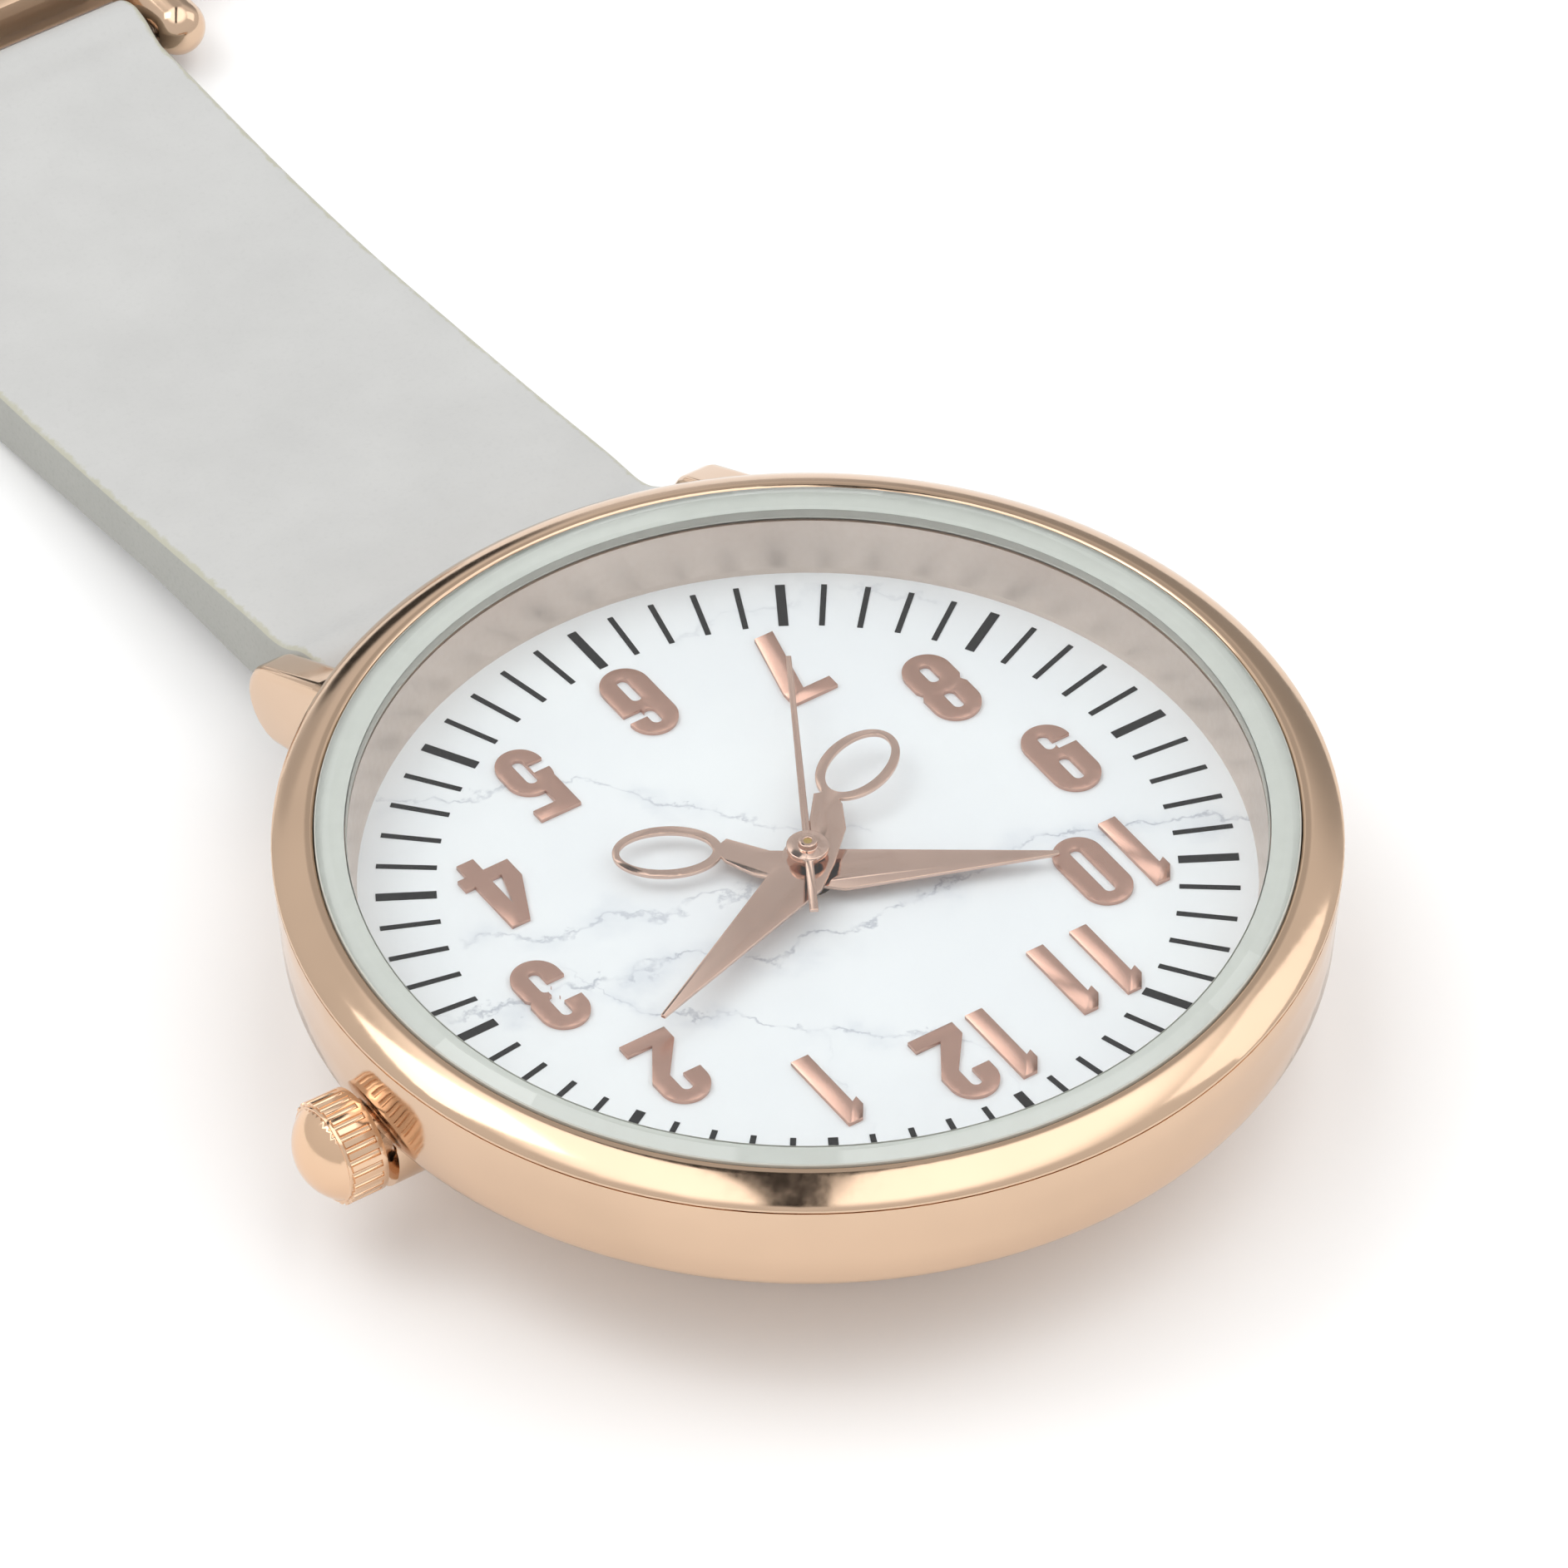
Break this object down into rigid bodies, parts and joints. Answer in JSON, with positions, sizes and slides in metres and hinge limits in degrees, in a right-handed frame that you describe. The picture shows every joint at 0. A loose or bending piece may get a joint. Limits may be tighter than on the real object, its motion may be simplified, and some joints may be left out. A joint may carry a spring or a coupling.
{
  "type": "fob watch",
  "caption": "Round polished fob watch with a marble-look dial, scissor-shaped hands, a short leather strap and a pin-on bar brooch.",
  "frame": {"origin": "centre of the flat rest face of the case back", "axes": "+Z out through the dial and crystal, +Y from the case along the strap to the brooch (6 o'clock side), -X towards the crown (3 o'clock)"},
  "size_m": [0.0404, 0.0847, 0.0103],
  "materials": {
    "case_metal": "polished rose-gold plating",
    "crown_metal": "polished rose-gold plating",
    "brooch_metal": "polished rose-gold plating",
    "inner_ring_metal": "satin rose-gold plating",
    "numeral_metal": "satin rose-gold plating",
    "hand_metal": "satin rose-gold plating",
    "seal_rubber": "matte",
    "crystal_seal": "matte translucent grey",
    "crystal_glass": "clear polished",
    "dial_face": "white marble with thin grey veins, satin",
    "track_print": "matte printed ink",
    "holder_plastic": "matte",
    "movement_brass": "fine brushed",
    "wheel_brass": "fine brushed",
    "steel": "fine brushed",
    "board_laminate": "satin green laminate",
    "chip_resin": "matte",
    "coil_copper": "enamelled copper wire",
    "strap_leather": "light grey calf leather, painted edge"
  },
  "bodies": {
    "root": {"mid_case": "case_metal", "bezel": "case_metal", "case_back": "case_metal", "case_back_gasket": "seal_rubber", "crystal": "crystal_glass", "crystal_gasket": "crystal_seal", "inner_ring": "inner_ring_metal", "dial": "dial_face", "minute_track": "track_print", "hour_numerals": "numeral_metal", "movement_holder": "holder_plastic", "main_plate": "movement_brass", "train_bridge": "movement_brass", "battery": "steel", "battery_clamp": "steel", "circuit_board": "board_laminate", "quartz_can": "steel", "ic_chip": "chip_resin", "coil": "coil_copper", "coil_core": "steel", "stator": "steel", "movement_screws": "steel", "crown_tube": "case_metal", "case_spring_bar": "steel", "case_bar_spring": "steel"},
    "seconds": {"seconds_wheel": "wheel_brass", "second_hand": "hand_metal"},
    "rotor": {"rotor": "steel"},
    "intermediate": {"intermediate_wheel": "wheel_brass"},
    "third": {"third_wheel": "wheel_brass"},
    "minute": {"centre_wheel": "wheel_brass", "cannon_pinion": "wheel_brass", "minute_hand": "hand_metal"},
    "minute_wheel": {"minute_wheel": "wheel_brass"},
    "setting_wheel": {"setting_wheel": "steel"},
    "hour": {"hour_wheel": "wheel_brass", "hour_hand": "hand_metal"},
    "crown_seal": {"crown_gasket": "seal_rubber"},
    "crown": {"crown": "crown_metal", "stem": "steel"},
    "sliding_pinion": {"sliding_pinion": "steel"},
    "setting_lever": {"setting_lever": "steel"},
    "yoke": {"yoke": "steel"},
    "case_tip_left": {"case_bar_tip_left": "steel"},
    "case_tip_right": {"case_bar_tip_right": "steel"},
    "strap": {"strap": "strap_leather"},
    "brooch": {"brooch_frame": "brooch_metal", "brooch_spring_bar": "steel", "brooch_bar_spring": "steel", "pin_rivet": "steel"},
    "brooch_tip_left": {"brooch_bar_tip_left": "steel"},
    "brooch_tip_right": {"brooch_bar_tip_right": "steel"},
    "brooch_pin": {"brooch_pin": "steel"},
    "pin_catch": {"pin_catch": "brooch_metal"}
  },
  "joints": [
    {"name": "seconds_turn", "type": "hinge", "parent": "root", "child": "seconds", "pos_m": [0, 0, 0], "axis": [0, 0, -1], "continuous": true},
    {"name": "rotor_turn", "type": "hinge", "parent": "root", "child": "rotor", "pos_m": [0.00202, -0.00556, 0], "axis": [0, 0, -1], "continuous": true},
    {"name": "intermediate_turn", "type": "hinge", "parent": "root", "child": "intermediate", "pos_m": [0.00107, -0.00293, 0], "axis": [0, 0, -1], "continuous": true},
    {"name": "third_turn", "type": "hinge", "parent": "root", "child": "third", "pos_m": [-0.00306, 0, 0], "axis": [0, 0, -1], "continuous": true},
    {"name": "minute_turn", "type": "hinge", "parent": "root", "child": "minute", "pos_m": [0, 0, 0], "axis": [0, 0, -1], "continuous": true},
    {"name": "minute_wheel_turn", "type": "hinge", "parent": "root", "child": "minute_wheel", "pos_m": [-0.0024, 0, 0], "axis": [0, 0, -1], "continuous": true},
    {"name": "setting_wheel_turn", "type": "hinge", "parent": "root", "child": "setting_wheel", "pos_m": [-0.0052, 0, 0], "axis": [0, 0, -1], "continuous": true},
    {"name": "hour_turn", "type": "hinge", "parent": "root", "child": "hour", "pos_m": [0, 0, 0], "axis": [0, 0, -1], "continuous": true},
    {"name": "crown_pull", "type": "slide", "parent": "root", "child": "crown_seal", "axis": [-1, 0, 0], "range_m": [0, 0.0008]},
    {"name": "crown_turn", "type": "hinge", "parent": "crown_seal", "child": "crown", "pos_m": [-0.02, 0, 0.0046], "axis": [-1, 0, 0], "continuous": true},
    {"name": "pinion_shift", "type": "slide", "parent": "crown", "child": "sliding_pinion", "axis": [1, 0, 0], "range_m": [0, 0.00125]},
    {"name": "setting_lever_turn", "type": "hinge", "parent": "root", "child": "setting_lever", "pos_m": [-0.009, 0.0019, 0.00394], "axis": [0, 0, 1], "range_deg": [-25, 0]},
    {"name": "yoke_turn", "type": "hinge", "parent": "root", "child": "yoke", "pos_m": [-0.0069, -0.0022, 0.0046], "axis": [0, 0, 1], "range_deg": [-16.4, 0]},
    {"name": "case_tip_left_slide", "type": "slide", "parent": "root", "child": "case_tip_left", "axis": [1, 0, 0], "range_m": [0, 0.001], "stiffness_N_per_m": 200, "springref_m": -0.0005},
    {"name": "case_tip_right_slide", "type": "slide", "parent": "root", "child": "case_tip_right", "axis": [-1, 0, 0], "range_m": [0, 0.001], "stiffness_N_per_m": 200, "springref_m": -0.0005},
    {"name": "strap_swing", "type": "hinge", "parent": "root", "child": "strap", "pos_m": [0, 0.0203, 0.0047], "axis": [1, 0, 0], "range_deg": [-75, 80]},
    {"name": "brooch_swing", "type": "hinge", "parent": "strap", "child": "brooch", "pos_m": [0, 0.058, 0.0016], "axis": [1, 0, 0], "range_deg": [-80, 80]},
    {"name": "brooch_tip_left_slide", "type": "slide", "parent": "brooch", "child": "brooch_tip_left", "axis": [1, 0, 0], "range_m": [0, 0.001], "stiffness_N_per_m": 200, "springref_m": -0.0005},
    {"name": "brooch_tip_right_slide", "type": "slide", "parent": "brooch", "child": "brooch_tip_right", "axis": [-1, 0, 0], "range_m": [0, 0.001], "stiffness_N_per_m": 200, "springref_m": -0.0005},
    {"name": "brooch_pin_open", "type": "hinge", "parent": "brooch", "child": "brooch_pin", "pos_m": [-0.0114, 0.0631, 0.00068], "axis": [0, 1, 0], "range_deg": [0, 60]},
    {"name": "pin_catch_turn", "type": "hinge", "parent": "brooch", "child": "pin_catch", "pos_m": [0.01035, 0.0631, 0.00068], "axis": [-1, 0, 0], "range_deg": [0, 90]}
  ],
  "couplings": [
    {"joint": "rotor_turn", "follows": "seconds_turn", "ratio": 30},
    {"joint": "intermediate_turn", "follows": "seconds_turn", "ratio": -5},
    {"joint": "third_turn", "follows": "seconds_turn", "ratio": -0.13333},
    {"joint": "minute_turn", "follows": "seconds_turn", "ratio": 0.016667},
    {"joint": "minute_wheel_turn", "follows": "seconds_turn", "ratio": -0.0055556},
    {"joint": "setting_wheel_turn", "follows": "seconds_turn", "ratio": 0.01},
    {"joint": "hour_turn", "follows": "seconds_turn", "ratio": 0.0013889},
    {"joint": "pinion_shift", "follows": "crown_pull", "ratio": 1.5625},
    {"joint": "setting_lever_turn", "follows": "crown_pull", "rad_per_m": -543.23},
    {"joint": "yoke_turn", "follows": "crown_pull", "rad_per_m": -355.61}
  ]
}
